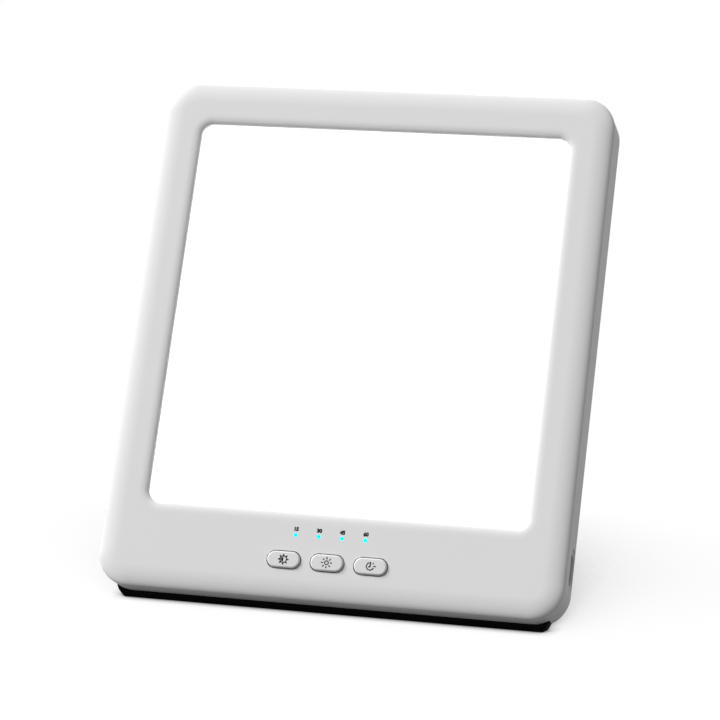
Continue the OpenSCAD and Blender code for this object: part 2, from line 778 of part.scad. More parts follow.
// Rubber strip that fits the bottom wall and the round corners at its ends. It narrows
// towards the table and is flat there.
module front_foot() {
    z1 = foot_z0 + foot_w;
    flat_z1 = foot_z0 + foot_flat_w;
    color("black") difference() {
        intersection() {
            translate([body_w / 2, 0, 0]) rotate([0, -90, 0]) linear_extrude(body_w)
                polygon([[foot_z0, corner_r], [foot_z0, table_y(foot_z0)],
                         [flat_z1, table_y(flat_z1)], [z1, 0], [z1, corner_r]]);
            linear_extrude(z1 + 1) foot_outline(table_y(z1));
        }
        translate([0, body_h / 2, 0]) round_plate(body_w, body_h, corner_r, 0, z1 + 1);
    }
}

// Turns the folded leg to its open place
module opened() {
    translate([0, hinge_y, hinge_z]) rotate([open_angle, 0, 0]) children();
}

// Plan of the leg from its hinge to its foot, with two round corners
module leg_plan() {
    y1 = -leg_reach(-leg_t / 2);
    translate([-leg_w / 2, y1 + leg_corner_r]) square([leg_w, -y1 - leg_corner_r]);
    translate([-leg_w / 2 + leg_corner_r, y1]) square([leg_w - 2 * leg_corner_r, leg_corner_r]);
    for (s = [-1, 1]) translate([s * (leg_w / 2 - leg_corner_r), y1 + leg_corner_r])
        circle(leg_corner_r);
}

// The leg, drawn folded with its hinge at the origin and its foot towards -y
module stand_leg() {
    color("gainsboro") opened() difference() {
        union() {
            rotate([0, 90, 0]) cylinder(h = leg_w, r = barrel_r, center = true);
            intersection() {
                translate([0, 0, -leg_t / 2]) linear_extrude(leg_t) leg_plan();
                translate([-leg_w, -leg_l, -leg_t]) cube([2 * leg_w, leg_l, 2 * leg_t]);
            }
            translate([-leg_w / 2, 0, -heel_t / 2]) cube([leg_w, heel_l, heel_t]);
        }
        rotate([0, 90, 0]) cylinder(h = leg_w + 2, r = pin_r + pin_play, center = true);
        leg_panel();
    }
}

// Shallow sunk panel on the leg's outer face
module leg_panel() {
    margin = 6;
    h = leg_l - 2 * margin - 6;
    translate([0, -leg_l / 2 - 2, -leg_t / 2 - 1]) linear_extrude(2)
        round_rect(leg_w - 2 * margin, h, 4);
}

// Rubber pad on the leg's end, cut flat at the table
module leg_foot_pad() {
    q = leg_t / 2;
    color("black") opened() intersection() {
        translate([0, 0, -q]) linear_extrude(leg_t) leg_plan();
        translate([leg_w / 2 + 1, 0, 0]) rotate([0, -90, 0])
            linear_extrude(leg_w + 2) polygon([[-q - 1, -leg_l], [q + 1, -leg_l],
                [q + 1, -leg_reach(q + 1)], [-q - 1, -leg_reach(-q - 1)]]);
    }
}

module hinge_pin() {
    color("silver") translate([0, hinge_y, hinge_z]) rotate([0, 90, 0])
        cylinder(h = pocket_w + 2 * pin_grip, r = pin_r, center = true);
}

module hinge_washers() {
    color("silver") for (s = [-1, 1])
        translate([s * (pocket_w - washer_t) / 2, hinge_y, hinge_z]) rotate([0, 90, 0]) difference() {
            cylinder(h = washer_t, r = washer_r, center = true);
            cylinder(h = washer_t + 1, r = pin_r + pin_play, center = true);
        }
}

standing() front_frame();
standing() rear_cover();
standing() diffuser();
standing() light_guide();
standing() reflector_sheet();
standing() back_tray();
standing() light_strip(-1);  // light_strip_left
standing() light_strip(1);  // light_strip_right
standing() light_chips(-1);  // light_chips_left
standing() light_chips(1);  // light_chips_right
standing() control_board();
standing() board_parts();
standing() indicator_chips();
standing() indicator_light_pipe();
standing() switch_bodies();
standing() button(0);  // brightness_button
standing() button(1);  // light_mode_button
standing() button(2);  // timer_button
standing() plunger(0);  // brightness_plunger
standing() plunger(1);  // light_mode_plunger
standing() plunger(2);  // timer_plunger
standing() inlet_board();
standing() inlet_socket();
standing() inlet_tongue();
standing() power_leads();
standing() strip_leads();
standing() front_foot();
standing() stand_leg();
standing() leg_foot_pad();
standing() hinge_pin();
standing() hinge_washers();
standing() cover_screws();
standing() tray_screws();
standing() board_screws();
standing() inlet_screws();
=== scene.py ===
import math

import bmesh
import bpy
from mathutils import Matrix, Vector


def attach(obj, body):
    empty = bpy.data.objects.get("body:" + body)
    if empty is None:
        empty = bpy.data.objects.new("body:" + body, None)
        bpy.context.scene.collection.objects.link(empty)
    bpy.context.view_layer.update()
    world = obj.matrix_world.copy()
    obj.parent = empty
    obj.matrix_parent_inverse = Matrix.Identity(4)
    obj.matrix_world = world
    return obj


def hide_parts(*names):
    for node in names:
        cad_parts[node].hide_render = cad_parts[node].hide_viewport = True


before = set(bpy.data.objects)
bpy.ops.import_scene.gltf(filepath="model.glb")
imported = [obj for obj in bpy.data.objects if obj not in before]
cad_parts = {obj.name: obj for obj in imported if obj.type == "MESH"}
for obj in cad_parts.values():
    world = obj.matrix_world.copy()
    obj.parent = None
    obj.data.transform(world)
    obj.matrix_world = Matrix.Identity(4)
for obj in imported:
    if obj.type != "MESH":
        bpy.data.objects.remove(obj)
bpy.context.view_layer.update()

# ---- Camera ----
# It stands where the photograph was taken: 14.6 degrees round to the lamp's right and 14 degrees
# up, 1.18 m from the lit window, with a long lens.
camera_turn = math.radians(14.6)
camera_rise = math.radians(14.04)
camera_reach = 1.1794515
camera_aside, camera_drop = 0.0004165, 0.0183345
sensor_width = 36
picture_pixels, lens_pixels = 720, 2712.01
window_middle = Vector((0, 0.0487788, 0.1188207))
to_camera = Vector((math.sin(camera_turn) * math.cos(camera_rise),
                    -math.cos(camera_turn) * math.cos(camera_rise), math.sin(camera_rise)))
camera_right = Vector((math.cos(camera_turn), math.sin(camera_turn), 0))
camera_up = camera_right.cross(-to_camera)
camera_data = bpy.data.cameras.new("photo_camera")
camera_data.sensor_width = sensor_width
camera_data.lens = sensor_width * lens_pixels / picture_pixels
camera_data.clip_start = 0.05
camera = bpy.data.objects.new("photo_camera", camera_data)
bpy.context.scene.collection.objects.link(camera)
camera.location = (window_middle + to_camera * camera_reach + camera_right * camera_aside
                   - camera_up * camera_drop)
camera.rotation_euler = to_camera.to_track_quat("Z", "Y").to_euler()
bpy.context.scene.camera = camera
bpy.context.scene.view_settings.view_transform = "Standard"

# ---- Floor, backdrop and light ----
# A plain pale table in a white room. Two broad lamps light the object, a strong one high on the
# left and a weak one behind, with soft light all round. The table glows white, and its glow carries
# a
# painted shadow: a tight dark edge where the lamp stands on it, and a wide soft shadow beneath and
# behind it, both darkened by how hidden each point of the table is.


class Signal:
    """A value that changes over a surface: one socket of a finish, with arithmetic."""

    def __init__(self, finish, socket):
        self.finish, self.socket = finish, socket

    def maths(self, operation, first, second):
        """A Math node on two values."""
        return self.finish.node("ShaderNodeMath", {"operation": operation}, [first, second])

    def __add__(self, other):
        return self.maths("ADD", self, other)

    def __radd__(self, other):
        return self.maths("ADD", other, self)

    def __sub__(self, other):
        return self.maths("SUBTRACT", self, other)

    def __rsub__(self, other):
        return self.maths("SUBTRACT", other, self)

    def __mul__(self, other):
        return self.maths("MULTIPLY", self, other)

    def __rmul__(self, other):
        return self.maths("MULTIPLY", other, self)

    def __gt__(self, other):
        return self.maths("GREATER_THAN", self, other)

    def __lt__(self, other):
        return self.maths("LESS_THAN", self, other)


class Finish:
    """A material under construction."""

    def __init__(self, name, tree=None):
        if tree is None:
            self.material = bpy.data.materials.new(name)
            self.material.use_nodes = True
            tree = self.material.node_tree
        self.tree = tree
        self.tree.nodes.clear()

    def node(self, kind, settings=(), inputs=(), output=0):
        """Any node: its settings first, then the values or links of its sockets."""
        made = self.tree.nodes.new(kind)
        for name, value in dict(settings).items():
            if name == "stops":
                ramp = made.color_ramp
                while len(ramp.elements) < len(value):
                    ramp.elements.new(1)
                for element, (place, grey) in zip(ramp.elements, value):
                    element.position = place
                    element.color = (grey, grey, grey, 1)
            else:
                setattr(made, name, value)
        pairs = inputs.items() if isinstance(inputs, dict) else enumerate(inputs)
        for name, value in pairs:
            if isinstance(value, Signal):
                self.tree.links.new(value.socket, made.inputs[name])
            elif value is not None:
                made.inputs[name].default_value = value
        return Signal(self, made.outputs[output] if len(made.outputs) else None)


def seen_by_eye(finish):
    """1 for rays from the camera, a mirror or glass, and 0 for the light that falls on the lamp."""
    rays = finish.node("ShaderNodeLightPath").socket.node.outputs
    camera_ray, mirror_ray, glass_ray = (
        Signal(finish, rays[name])
        for name in ("Is Camera Ray", "Is Glossy Ray", "Is Transmission Ray"))
    return camera_ray + mirror_ray + glass_ray


floor_size = 12
white = (1, 1, 1, 1)
contact_reach, shadow_reach, shadow_rays = 0.0048, 0.15, 16
contact_stops = [(0.03, 0), (0.165, 0.16), (0.38, 0.41), (0.48, 0.67), (0.6, 0.8), (0.7, 0.867),
                 (1, 1)]
shadow_stops = [(0.4, 0.22), (0.5, 0.33), (0.6, 0.55), (0.7, 0.855), (0.8, 0.935), (0.88, 0.982),
                (0.95, 1)]
bpy.ops.object.select_all(action="DESELECT")
bpy.ops.mesh.primitive_plane_add(size=floor_size, location=(0, 0, 0))
floor = bpy.context.object
floor.name = "table_top"
table = Finish("pale_table")
seen = seen_by_eye(table)
# Painted shadow: a tight ambient occlusion at the lamp's foot and a wide one turned to the front
# darken the table's glow.
near = table.node("ShaderNodeAmbientOcclusion", {"samples": shadow_rays},
                  {"Color": white, "Distance": contact_reach}, output=1)
painted_contact_shadow = table.node("ShaderNodeValToRGB", {"stops": contact_stops}, [near])
forwards = table.node("ShaderNodeCombineXYZ", (), (0, -0.98, 0.2))
open_side = table.node("ShaderNodeAmbientOcclusion", {"samples": shadow_rays},
                       {"Color": white, "Distance": shadow_reach, "Normal": forwards}, output=1)
shadow = table.node("ShaderNodeValToRGB", {"stops": shadow_stops}, [open_side])
# The glow's colour is the painted shadow, the product of the two occlusion ramps.
glow_with_painted_shadow = table.node("ShaderNodeEmission", (), {"Color": painted_contact_shadow * shadow, "Strength": 0.985})
pale = table.node("ShaderNodeBsdfDiffuse", (), {"Color": (0.015, 0.015, 0.015, 1)})
shown = table.node("ShaderNodeAddShader", (), [pale, glow_with_painted_shadow])
unseen = table.node("ShaderNodeAddShader", (), [
    table.node("ShaderNodeBsdfDiffuse", (), {"Color": (0.04, 0.04, 0.04, 1)}),
    table.node("ShaderNodeEmission", (), {"Strength": 0.06})])
table.node("ShaderNodeOutputMaterial", (),
           [table.node("ShaderNodeMixShader", (), [seen, unseen, shown])])
floor.data.materials.append(table.material)

world = bpy.data.worlds.new("soft_room")
world.use_nodes = True
bpy.context.scene.world = world
room = Finish("room", world.node_tree)
seen = seen_by_eye(room)
soft = room.node("ShaderNodeBackground", (), {"Color": white, "Strength": 0.4})
backdrop = room.node("ShaderNodeBackground", (), {"Color": white, "Strength": 1})
room.node("ShaderNodeOutputWorld", (),
          [room.node("ShaderNodeMixShader", (), [seen, soft, backdrop])])

for name, energy, spread, towards in (("high_left_lamp", 4.54, 28, (-0.73, -0.107, 0.677)),
                                      ("rear_lamp", 1, 30, (-0.12, 0.88, 0.46))):
    lamp_data = bpy.data.lights.new(name, "SUN")
    lamp_data.energy = energy
    lamp_data.angle = math.radians(spread)
    lamp = bpy.data.objects.new(name, lamp_data)
    bpy.context.scene.collection.objects.link(lamp)
    lamp.rotation_euler = Vector(towards).to_track_quat("Z", "Y").to_euler()

# ---- Front housing ----
# One shell of matt white moulded plastic, 205 x 232 x 19.4 mm with 2.2 mm walls. Its front edge is
# rounded 9.2 mm in and 2.3 mm back, its corners 14.4 mm, and the window has a full, shallow lip.
lean = math.radians(29.7)
standing = Matrix.Translation((0, 0.0034006, 0.00010873)) @ Matrix.Rotation(
    math.pi / 2 - lean, 4, "X")


def edit(piece):
    """Opens a piece in edit mode with nothing selected."""
    bpy.ops.object.mode_set(mode="OBJECT")
    bpy.ops.object.select_all(action="DESELECT")
    piece.select_set(True)
    bpy.context.view_layer.objects.active = piece
    bpy.ops.object.mode_set(mode="EDIT")
    bpy.ops.mesh.select_all(action="DESELECT")


def pick_edges(piece, test):
    """Selects the edges whose two ends pass a test."""
    edit(piece)
    bpy.ops.mesh.select_mode(type="EDGE")
    mesh = bmesh.from_edit_mesh(piece.data)
    for edge in mesh.edges:
        edge.select_set(test(edge.verts[0].co, edge.verts[1].co))
    bmesh.update_edit_mesh(piece.data)


def closed():
    """Leaves edit mode."""
    bpy.ops.object.mode_set(mode="OBJECT")


def block(name, w, h, r, z0, z1, middle=(0, 0), steps=16):
    """A block with upright round corners, lying face up."""
    bpy.ops.object.select_all(action="DESELECT")
    bpy.ops.mesh.primitive_cube_add(size=1, location=(middle[0], middle[1], (z0 + z1) / 2))
    piece = bpy.context.object
    piece.name = name
    bpy.ops.object.mode_set(mode="EDIT")
    bpy.ops.transform.resize(value=(w, h, z1 - z0), center_override=piece.location)
    pick_edges(piece, lambda a, b: abs(a.z - b.z) > 0.9 * (z1 - z0))
    bpy.ops.mesh.bevel(offset=r, segments=steps, affect="EDGES", clamp_overlap=True)
    bpy.ops.mesh.select_all(action="SELECT")
    bpy.ops.mesh.remove_doubles(threshold=1e-7)
    closed()
    bpy.ops.object.transform_apply(location=True, rotation=True, scale=True)
    return piece


def stretched(piece, z, factor):
    """Stretches a piece about the height z, so that a round bevel comes out as an ellipse."""
    edit(piece)
    bpy.ops.mesh.select_all(action="SELECT")
    bpy.ops.transform.resize(value=(1, 1, factor), center_override=(0, 0, z))
    closed()


def rolled(piece, z, run, drop, steps, fullness=0.5, within=lambda point: True):
    """Rounds the edges of a piece at height z, run in and drop back."""
    stretched(piece, z, run / drop)
    pick_edges(piece, lambda a, b: all(abs(p.z - z) < 1e-7 and within(p) for p in (a, b)))
    bpy.ops.mesh.bevel(offset=run, segments=steps, profile=fullness, affect="EDGES",
                       clamp_overlap=False)
    stretched(piece, z, drop / run)


def cut(piece, tool, how="DIFFERENCE"):
    """Cuts a piece with a tool, or joins the two, and removes the tool."""
    bpy.ops.object.select_all(action="DESELECT")
    piece.select_set(True)
    bpy.context.view_layer.objects.active = piece
    step = piece.modifiers.new("cut", "BOOLEAN")
    step.operation = how
    step.solver = "EXACT"
    step.object = tool
    bpy.ops.object.modifier_apply(modifier=step.name)
    bpy.data.objects.remove(tool, do_unlink=True)


def smoothed(piece, angle=35):
    """Smooth shading, with the large faces kept flat."""
    bpy.ops.object.select_all(action="DESELECT")
    piece.select_set(True)
    bpy.context.view_layer.objects.active = piece
    bpy.ops.object.shade_smooth_by_angle(angle=math.radians(angle))
    step = piece.modifiers.new("weigh", "WEIGHTED_NORMAL")
    step.keep_sharp = True
    step.weight = 80
    bpy.ops.object.modifier_apply(modifier=step.name)


def stood(piece, body, slot, *nodes):
    """Leans a finished piece back on the lamp's foot and gives it to its body."""
    piece.data.transform(standing)
    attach(piece, body)
    if nodes:
        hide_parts(*nodes)


def pill(name, length, width, z0, z1, middle=(0, 0), steps=16):
    """A block with half-round ends, a hair short of a half turn so that no corner closes up."""
    return block(name, length, width, width / 2 - 1e-6, z0, z1, middle, steps)


def lying_on_side(piece, x, y, z):
    """Turns a pill's length to y and its depth to x, and moves it to its place in the side."""
    piece.data.transform(Matrix(((0, 0, 1, x), (1, 0, 0, y), (0, 1, 0, z), (0, 0, 0, 1))))
    return piece


body_w, body_h, face, corner_r = 0.205, 0.232, 0.0194, 0.0144
inside_w, inside_h, face_in, inside_r = 0.2006, 0.2276, 0.0172, 0.0122
edge_run, edge_drop, rim_r = 0.0092, 0.0023, 0.0008
window_w, window_h, window_r, window_y = 0.168, 0.175, 0.0055, 0.1251
lip_run, lip_drop, lip_fullness = 0.0044, 0.0015, 0.5544
button_places, button_y = (-0.0191, 0, 0.0191), 0.0165
button_hole_l, button_hole_w = 0.0154, 0.0081
light_places, light_y = (-0.015375, -0.005125, 0.005125, 0.015375), 0.0276
light_hole_l, light_hole_w = 0.00181, 0.0018
inlet_y, inlet_z = 0.0244, 0.006
inlet_steps = (("plug_opening", 0.0134, 0.0074, 0.005), ("plug_flat", 0.0186, 0.009, 0.0004))
window_cut_back, cut_back, cut_front, cut_past, beside = 0.01, 0.015, 0.03, 0.002, 0.0001


def by_window(point):
    """Whether a point of the face lies on the window's edge."""
    return (abs(point.x) < window_w / 2 + beside
            and abs(point.y - window_y) < window_h / 2 + beside)


housing = block("front_housing", body_w, body_h, corner_r, 0, face, (0, body_h / 2), steps=24)
rolled(housing, face, edge_run, edge_drop, steps=20)
rolled(housing, 0, rim_r, rim_r, steps=5)
hollow = block("hollow", inside_w, inside_h, inside_r, -cut_past, face_in, (0, body_h / 2))
rolled(hollow, face_in, edge_run, edge_drop, steps=8)
cut(housing, hollow)
cut(housing, block("window", window_w, window_h, window_r, window_cut_back, cut_front,
                   (0, window_y)))
rolled(housing, face, lip_run, lip_drop, 14, lip_fullness, by_window)
for x in button_places:
    cut(housing, pill("button_hole", button_hole_l, button_hole_w, cut_back, cut_front,
                      (x, button_y)))
for x in light_places:
    cut(housing, pill("light_hole", light_hole_l, light_hole_w, cut_back, cut_front,
                      (x, light_y), steps=8))
for name, length, width, depth in inlet_steps:
    tool = pill(name, length, width, -depth, cut_past)
    cut(housing, lying_on_side(tool, body_w / 2, inlet_y, inlet_z))
smoothed(housing)


def blend(finish, mask, first, second):
    """The first colour where the mask is 0, the second where it is 1."""
    return finish.node("ShaderNodeMix", {"data_type": "RGBA"},
                       {0: mask, 6: tuple(first) + (1,), 7: tuple(second) + (1,)}, output=2)


def moulded(name, colour, roughness, grain=0.00001, grain_scale=2600, shine=0.3):
    """Matt moulded plastic: a fine spark-eroded grain, with a faint drift of tone and gloss."""
    finish = Finish(name)
    place = finish.node("ShaderNodeTexCoord", output="Object")
    drift = finish.node("ShaderNodeTexNoise", (), {"Vector": place, "Scale": 22, "Detail": 2})
    fine = finish.node("ShaderNodeTexNoise", (),
                       {"Vector": place, "Scale": grain_scale, "Detail": 3})
    tone = blend(finish, drift, [0.985 * part for part in colour], colour)
    bump = finish.node("ShaderNodeBump", (), {"Strength": 0.35, "Distance": grain, "Height": fine})
    skin = finish.node("ShaderNodeBsdfPrincipled", (), {
        "Base Color": tone, "Roughness": roughness + (drift - 0.5) * 0.08, "Normal": bump,
        "Specular IOR Level": shine})
    finish.node("ShaderNodeOutputMaterial", (), [skin])
    return finish.material


housing_plastic = moulded("housing_plastic", (0.69, 0.69, 0.69), roughness=0.5)
housing.data.materials.append(housing_plastic)
stood(housing, "housing", "housing_plastic", "front_frame")

# ---- Screw posts of the housing ----
# Round posts moulded with the shell: four for the rear cover in the corners, four for the tray,
# four for the control board, and two short ones on the side walls. Each has a pilot hole.
def pick_faces(piece, test):
    """Selects the faces whose middle and direction pass a test."""
    edit(piece)
    bpy.ops.mesh.select_mode(type="FACE")
    mesh = bmesh.from_edit_mesh(piece.data)
    for face in mesh.faces:
        face.select_set(test(face.calc_center_median(), face.normal))
    bmesh.update_edit_mesh(piece.data)


hole_r, hole_share = 0.0011, 0.6


def post(radius, place, z0, z1):
    """A round post from z0 up to z1, with a pilot hole in its lower end, for most of its length."""
    bpy.ops.object.select_all(action="DESELECT")
    bpy.ops.mesh.primitive_cylinder_add(vertices=32, radius=radius, depth=z1 - z0,
                                        location=(place[0], place[1], (z0 + z1) / 2))
    made = bpy.context.object
    bpy.ops.object.transform_apply(location=True, rotation=True, scale=True)
    pick_faces(made, lambda middle, normal: normal.z < -0.9)
    bpy.ops.mesh.inset(thickness=radius - hole_r, depth=0)
    bpy.ops.mesh.extrude_region_move(
        TRANSFORM_OT_translate={"value": (0, 0, hole_share * (z1 - z0))})
    closed()
    return made


def joined(name, pieces):
    """Makes one object of several."""
    bpy.ops.object.select_all(action="DESELECT")
    for piece in pieces:
        piece.select_set(True)
    bpy.context.view_layer.objects.active = pieces[0]
    bpy.ops.object.join()
    whole = bpy.context.object
    whole.name = name
    return whole


wide_post, slim_post = 0.0028, 0.0024
cover_seat, side_post_top, board_seat, tray_seat = 0.004, 0.0107, 0.0116, 0.0119
web_w, web_h, web_r, web_x = 0.0019, 0.0056, 0.0003, 0.09945
corner_places = [(side * 0.0931912, y) for side in (-1, 1) for y in (0.0093088, 0.2226912)]
side_places = [(side * 0.0958, window_y) for side in (-1, 1)]
tray_places = [(side * 0.0748, window_y + up * 0.0951) for side in (-1, 1) for up in (-1, 1)]
board_places = [(side * 0.063, y) for side in (-1, 1) for y in (0.0095, 0.0287)]
posts = [post(wide_post, place, cover_seat, face_in) for place in corner_places]
posts += [post(wide_post, place, cover_seat, side_post_top) for place in side_places]
posts += [post(slim_post, place, tray_seat, face_in) for place in tray_places]
posts += [post(slim_post, place, board_seat, face_in) for place in board_places]
for side in (-1, 1):
    posts.append(block("post_web", web_w, web_h, web_r, cover_seat, side_post_top,
                       (side * web_x, window_y), steps=2))
posts = joined("housing_posts", posts)
smoothed(posts)
posts.data.materials.append(housing_plastic)
stood(posts, "housing", "housing_plastic")

# ---- Window ----
# One opal acrylic sheet, 2 mm thick, sawn to size with its corners just rounded. The tray clamps it
# against the back of the lip, and the light guide lights it evenly from behind.
opal_w, opal_h, opal_r, opal_back = 0.1764, 0.1834, 0.002, 0.0152
sheet = block("opal_sheet", opal_w, opal_h, opal_r, opal_back, face_in, (0, window_y), steps=6)
opal = Finish("diffuser_opal")
place = opal.node("ShaderNodeTexCoord", output="Object")
cloud = opal.node("ShaderNodeTexNoise", (), {"Vector": place, "Scale": 30, "Detail": 3})
grain = opal.node("ShaderNodeTexNoise", (), {"Vector": place, "Scale": 3500, "Detail": 2})
bump = opal.node("ShaderNodeBump", (), {"Strength": 0.2, "Distance": 0.000006, "Height": grain})
skin = opal.node("ShaderNodeBsdfPrincipled", (), {
    "Base Color": (0.8, 0.8, 0.8, 1), "Roughness": 0.42 + cloud * 0.06,
    "Emission Color": white, "Emission Strength": 1.1, "Normal": bump})
opal.node("ShaderNodeOutputMaterial", (), [skin])
sheet.data.materials.append(opal.material)
sheet.visible_diffuse = False
smoothed(sheet)
stood(sheet, "housing", "diffuser_opal", "diffuser")

# ---- Light guide, reflector film and tray ----
# Behind the window: a clear acrylic sheet lit from its two long edges, a white film behind it, and
# a folded aluminium tray, screwed to the housing, that holds both and the two light strips.
def finished(material, *nodes):
    """Gives CAD nodes their finish."""
    for node in nodes:
        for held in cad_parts[node].material_slots:
            held.material = material


def brushed(name, colour, roughness, along=(1, 40, 1)):
    """Bare metal with fine lines from rolling or turning, and a faint uneven tone."""
    finish = Finish(name)
    place = finish.node("ShaderNodeTexCoord", output="Object")
    turned = finish.node("ShaderNodeMapping", (), {"Vector": place, "Scale": along})
    lines = finish.node("ShaderNodeTexNoise", (), {"Vector": turned, "Scale": 260, "Detail": 4})
    patches = finish.node("ShaderNodeTexNoise", (), {"Vector": place, "Scale": 60, "Detail": 2})
    tone = blend(finish, patches, [0.9 * part for part in colour], colour)
    bump = finish.node("ShaderNodeBump", (),
                       {"Strength": 0.25, "Distance": 0.00001, "Height": lines})
    skin = finish.node("ShaderNodeBsdfPrincipled", (), {
        "Base Color": tone, "Metallic": 1, "Roughness": roughness + (lines - 0.5) * 0.15,
        "Normal": bump})
    finish.node("ShaderNodeOutputMaterial", (), [skin])
    return finish.material


clear = Finish("clear_acrylic")
place = clear.node("ShaderNodeTexCoord", output="Object")
haze = clear.node("ShaderNodeTexNoise", (), {"Vector": place, "Scale": 45, "Detail": 2})
skin = clear.node("ShaderNodeBsdfPrincipled", (), {
    "Base Color": (0.93, 0.97, 0.98, 1), "Roughness": 0.03 + haze * 0.05, "IOR": 1.49,
    "Transmission Weight": 0.9})
clear.node("ShaderNodeOutputMaterial", (), [skin])
finished(clear.material, "light_guide")
finished(moulded("white_film", (0.88, 0.88, 0.88), roughness=0.35, grain=0.000003,
                 grain_scale=1500), "reflector_sheet")
finished(brushed("tray_aluminium", (0.76, 0.76, 0.77), roughness=0.34), "back_tray")

# ---- Light strips ----
# A narrow white circuit board on each side wall of the tray, with a row of white-cupped light chips
# soldered along it, facing the edge of the light guide.
def masked(name, colour, traces, size):
    """Circuit board: solder mask over faint copper tracks, with a gloss."""
    finish = Finish(name)
    place = finish.node("ShaderNodeTexCoord", output="Object")
    cells = finish.node("ShaderNodeTexVoronoi", {"distance": "MANHATTAN", "feature": "F1"},
                        {"Vector": place, "Scale": size, "Randomness": 0.7}, output="Distance")
    track = cells > 0.62
    tone = blend(finish, track, colour, traces)
    bump = finish.node("ShaderNodeBump", (),
                       {"Strength": 0.3, "Distance": 0.00003, "Height": track})
    skin = finish.node("ShaderNodeBsdfPrincipled", (), {
        "Base Color": tone, "Roughness": 0.3 + track * 0.1, "Normal": bump})
    finish.node("ShaderNodeOutputMaterial", (), [skin])
    return finish.material


finished(masked("white_board", (0.84, 0.84, 0.82), (0.74, 0.74, 0.72), size=420),
         "light_strip_left", "light_strip_right")
chip = Finish("light_chip")
place = chip.node("ShaderNodeTexCoord", output="Object")
speck = chip.node("ShaderNodeTexNoise", (), {"Vector": place, "Scale": 2500, "Detail": 3})
tone = blend(chip, speck, (0.8, 0.62, 0.12), (0.92, 0.82, 0.35))
skin = chip.node("ShaderNodeBsdfPrincipled", (),
                 {"Base Color": tone, "Roughness": 0.3 + speck * 0.2})
chip.node("ShaderNodeOutputMaterial", (), [skin])
finished(chip.material, "light_chips_left", "light_chips_right")

# ---- Buttons ----
# Three moulded caps of the housing's plastic, 14.5 x 7.2 mm, standing 0.9 mm proud with a rounded
# top edge. A flange behind the face keeps each in its hole, and a black plunger carries it to its
# switch.
button_plastic = moulded("button_plastic", (0.69, 0.69, 0.69), roughness=0.42, grain=0.000006,
                         grain_scale=3200)
cap_l, cap_w, cap_back, cap_top, cap_edge_r = 0.0145, 0.0072, 0.01585, 0.0203, 0.0008
flange_l, flange_w, flange_top = 0.0165, 0.0092, 0.01695
keys = ("brightness", "light_mode", "timer")
for key, x in zip(keys, button_places):
    cap = pill(key + "_cap", cap_l, cap_w, cap_back, cap_top, (x, button_y), steps=20)
    rolled(cap, cap_top, cap_edge_r, cap_edge_r, steps=8)
    flange = pill("flange", flange_l, flange_w, cap_back, flange_top, (x, button_y))
    cut(cap, flange, "UNION")
    smoothed(cap)
    cap.data.materials.append(button_plastic)
    stood(cap, key + "_key", "button_plastic", key + "_button")
black_parts = moulded("black_parts", (0.02, 0.02, 0.022), roughness=0.45, grain=0.000008,
                      grain_scale=1800)
finished(black_parts, *(key + "_plunger" for key in keys), "switch_bodies")

# ---- Marks on the buttons ----
# Thin raised black ink, pad-printed on the caps: a half-filled sun for brightness, a small sun for
# the light's mode, and a timer. Each is drawn in metres about its button's middle.
ink = moulded("mark_ink", (0.012, 0.012, 0.012), roughness=0.6, grain=0.000003,
              grain_scale=3000, shine=0.1)
ink_height = 0.00003


def disc(radius, inner=0, start=0, stop=360):
    """A flat disc or its left half, or a ring or the part of it between two angles."""
    bpy.ops.object.select_all(action="DESELECT")
    bpy.ops.mesh.primitive_circle_add(vertices=72, radius=radius, fill_type="NGON")
    made = bpy.context.object
    if inner:
        bpy.ops.object.mode_set(mode="EDIT")
        bpy.ops.mesh.select_mode(type="FACE")
        bpy.ops.mesh.select_all(action="SELECT")
        bpy.ops.mesh.inset(thickness=radius - inner, depth=0)
        bpy.ops.mesh.delete(type="FACE")
    elif stop < 360:
        edit(made)
        bpy.ops.mesh.select_all(action="SELECT")
        bpy.ops.mesh.bisect(plane_co=(0, 0, 0), plane_no=(1, 0, 0), clear_outer=True,
                            threshold=1e-7)
    if inner and stop - start < 360:
        pick_faces(made, lambda middle, normal:
                   not start < math.degrees(math.atan2(middle.y, middle.x)) % 360 < stop)
        bpy.ops.mesh.delete(type="FACE")
    closed()
    return made


def dash(near, far, width, tip, angle, middle=(0, 0)):
    """A flat dash along an angle, from one radius to another, narrowed at its tip."""
    bpy.ops.object.select_all(action="DESELECT")
    bpy.ops.mesh.primitive_plane_add(size=1)
    made = bpy.context.object
    edit(made)
    bpy.ops.mesh.select_all(action="SELECT")
    bpy.ops.transform.resize(value=(far - near, width, 1))
    pick_edges(made, lambda a, b: a.x > 0 and b.x > 0)
    bpy.ops.transform.resize(value=(1, tip / width, 1), center_override=((far - near) / 2, 0, 0))
    closed()
    made.data.transform(Matrix.Translation((middle[0], middle[1], 0))
                        @ Matrix.Rotation(math.radians(angle), 4, "Z")
                        @ Matrix.Translation(((near + far) / 2, 0, 0)))
    return made


def printed(name, pieces, place, height, body):
    """Thickens flat shapes to a layer of ink and puts it in its place."""
    mark = joined(name, pieces)
    mark.data.transform(Matrix.Translation((place[0], place[1], height)))
    thick = mark.modifiers.new("ink", "SOLIDIFY")
    thick.thickness = ink_height
    thick.offset = 1
    bpy.ops.object.modifier_apply(modifier=thick.name)
    mark.data.materials.append(ink)
    stood(mark, body, "black_parts")


